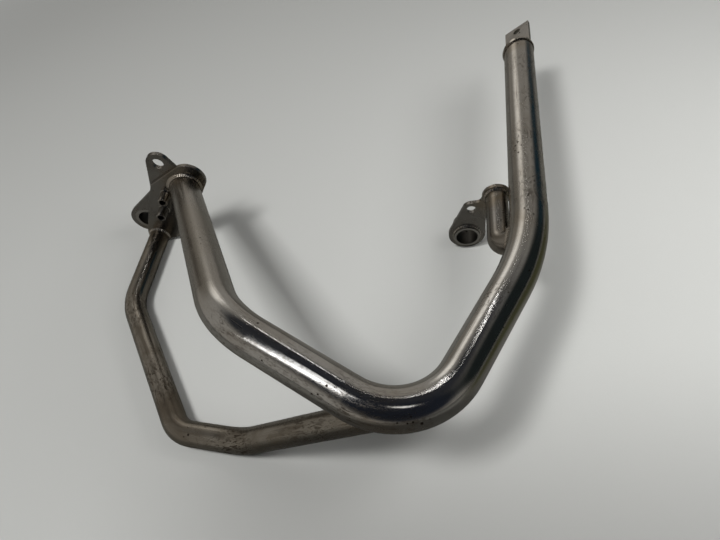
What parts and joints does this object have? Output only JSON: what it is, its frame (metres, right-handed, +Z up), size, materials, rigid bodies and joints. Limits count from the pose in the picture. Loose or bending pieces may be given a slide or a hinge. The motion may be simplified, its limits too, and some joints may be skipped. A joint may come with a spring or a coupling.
{
  "type": "motorcycle crash bar",
  "caption": "Bent polished stainless steel tube guard bar with a lower brace, two welded bracket ends and a drilled tab.",
  "frame": {"origin": "under the middle of the bar's bounding box, on the surface it rests on", "axes": "+Z up; the bolts run along Y, and -Y is the low front of the bar; +X towards the closed, tabbed end"},
  "size_m": [0.3868, 0.3879, 0.1175],
  "materials": {
    "polished_steel": "polished, lightly tarnished",
    "brace_steel": "polished, worn and tarnished",
    "plate_steel": "satin",
    "weld_steel": "rough satin"
  },
  "bodies": {
    "root": {"main_tube": "polished_steel", "brace_tube": "brace_steel", "stub_tube": "plate_steel", "front_plate": "plate_steel", "ear_plate": "plate_steel", "ear_sleeve": "plate_steel", "upper_bush": "plate_steel", "lower_bush": "plate_steel", "upper_collar": "plate_steel", "lower_collar": "plate_steel", "side_plate": "plate_steel", "side_boss": "plate_steel", "end_cap": "plate_steel", "lap_tab": "plate_steel", "main_foot_weld": "weld_steel", "brace_foot_weld": "weld_steel", "stub_foot_weld": "weld_steel", "brace_joint_weld": "weld_steel", "stub_joint_weld": "weld_steel", "cap_weld": "weld_steel", "tab_weld": "weld_steel", "boss_weld": "weld_steel", "sleeve_weld": "weld_steel"}
  },
  "joints": []
}
